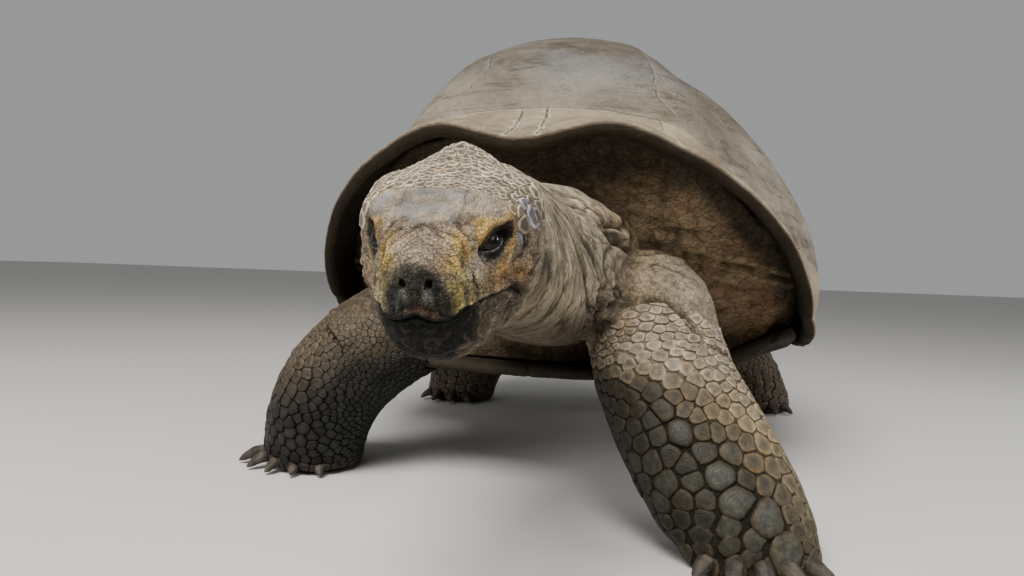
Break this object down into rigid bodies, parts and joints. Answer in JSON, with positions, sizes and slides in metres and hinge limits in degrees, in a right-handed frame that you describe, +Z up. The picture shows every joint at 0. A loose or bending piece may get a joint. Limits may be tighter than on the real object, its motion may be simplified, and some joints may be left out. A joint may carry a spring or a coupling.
{
  "type": "giant tortoise figure",
  "caption": "Life-size still model of a giant tortoise in mid-step, with a high domed shell, scaly column legs and its head stretched forward.",
  "frame": {"origin": "on the floor under the centre of the model's bounding box", "axes": "the head points to -Y, the tail to +Y, +X is the animal's left side, +Z up"},
  "size_m": [0.9882, 1.7078, 0.778],
  "materials": {
    "shell_horn": "worn horn, smooth and dry",
    "grey_brown_skin": "dry wrinkled hide with raised horny scales",
    "dark_eye": "wet, glossy",
    "claw_horn": "worn horn",
    "beak_horn": "smooth horn"
  },
  "bodies": {
    "root": {"carapace": "shell_horn", "plastron": "shell_horn", "trunk": "grey_brown_skin", "neck": "grey_brown_skin", "head": "grey_brown_skin", "lower_jaw": "beak_horn", "eye_left": "dark_eye", "eye_right": "dark_eye", "foreleg_left": "grey_brown_skin", "foreleg_right": "grey_brown_skin", "hindleg_left": "grey_brown_skin", "hindleg_right": "grey_brown_skin", "tail": "grey_brown_skin", "claw_foreleg_left_1": "claw_horn", "claw_foreleg_left_2": "claw_horn", "claw_foreleg_left_3": "claw_horn", "claw_foreleg_left_4": "claw_horn", "claw_foreleg_left_5": "claw_horn", "claw_foreleg_right_1": "claw_horn", "claw_foreleg_right_2": "claw_horn", "claw_foreleg_right_3": "claw_horn", "claw_foreleg_right_4": "claw_horn", "claw_foreleg_right_5": "claw_horn", "claw_hindleg_left_1": "claw_horn", "claw_hindleg_left_2": "claw_horn", "claw_hindleg_left_3": "claw_horn", "claw_hindleg_left_4": "claw_horn", "claw_hindleg_right_1": "claw_horn", "claw_hindleg_right_2": "claw_horn", "claw_hindleg_right_3": "claw_horn", "claw_hindleg_right_4": "claw_horn"}
  },
  "joints": []
}
